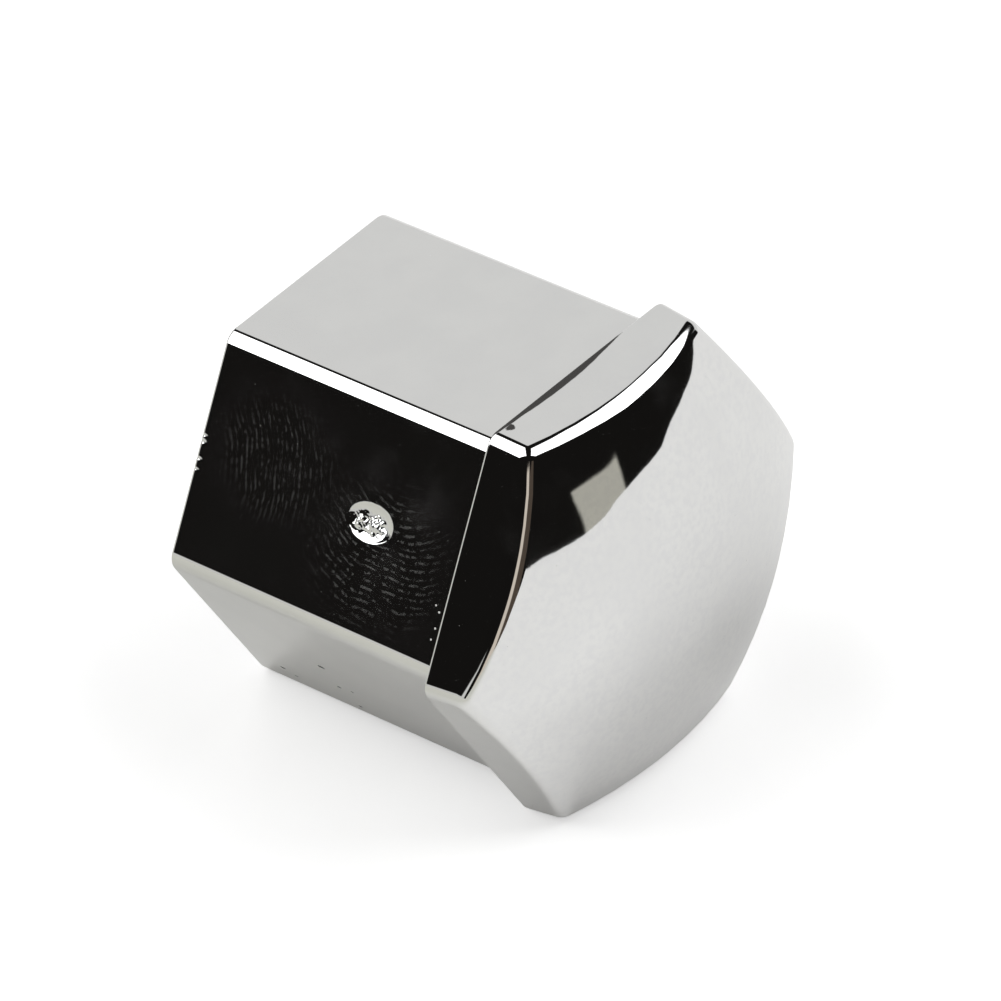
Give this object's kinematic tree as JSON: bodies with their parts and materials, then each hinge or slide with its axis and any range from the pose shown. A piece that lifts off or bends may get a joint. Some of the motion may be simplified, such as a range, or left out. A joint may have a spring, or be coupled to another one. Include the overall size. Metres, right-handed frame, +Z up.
{
  "type": "wheel nut cap",
  "caption": "Hexagonal push-on cap with a wider domed head and an open hexagon socket that covers a wheel nut.",
  "frame": {"origin": "centre of the open rim, where the nut goes in", "axes": "+Y along the cap's axis, out of the open socket; the domed head is on -Y; +Z up, square to one flat"},
  "size_m": [0.0278, 0.0246, 0.0244],
  "materials": {
    "chrome": "bright decorative chrome plating on moulded plastic"
  },
  "bodies": {
    "root": {"nut_cap": "chrome"}
  },
  "joints": []
}
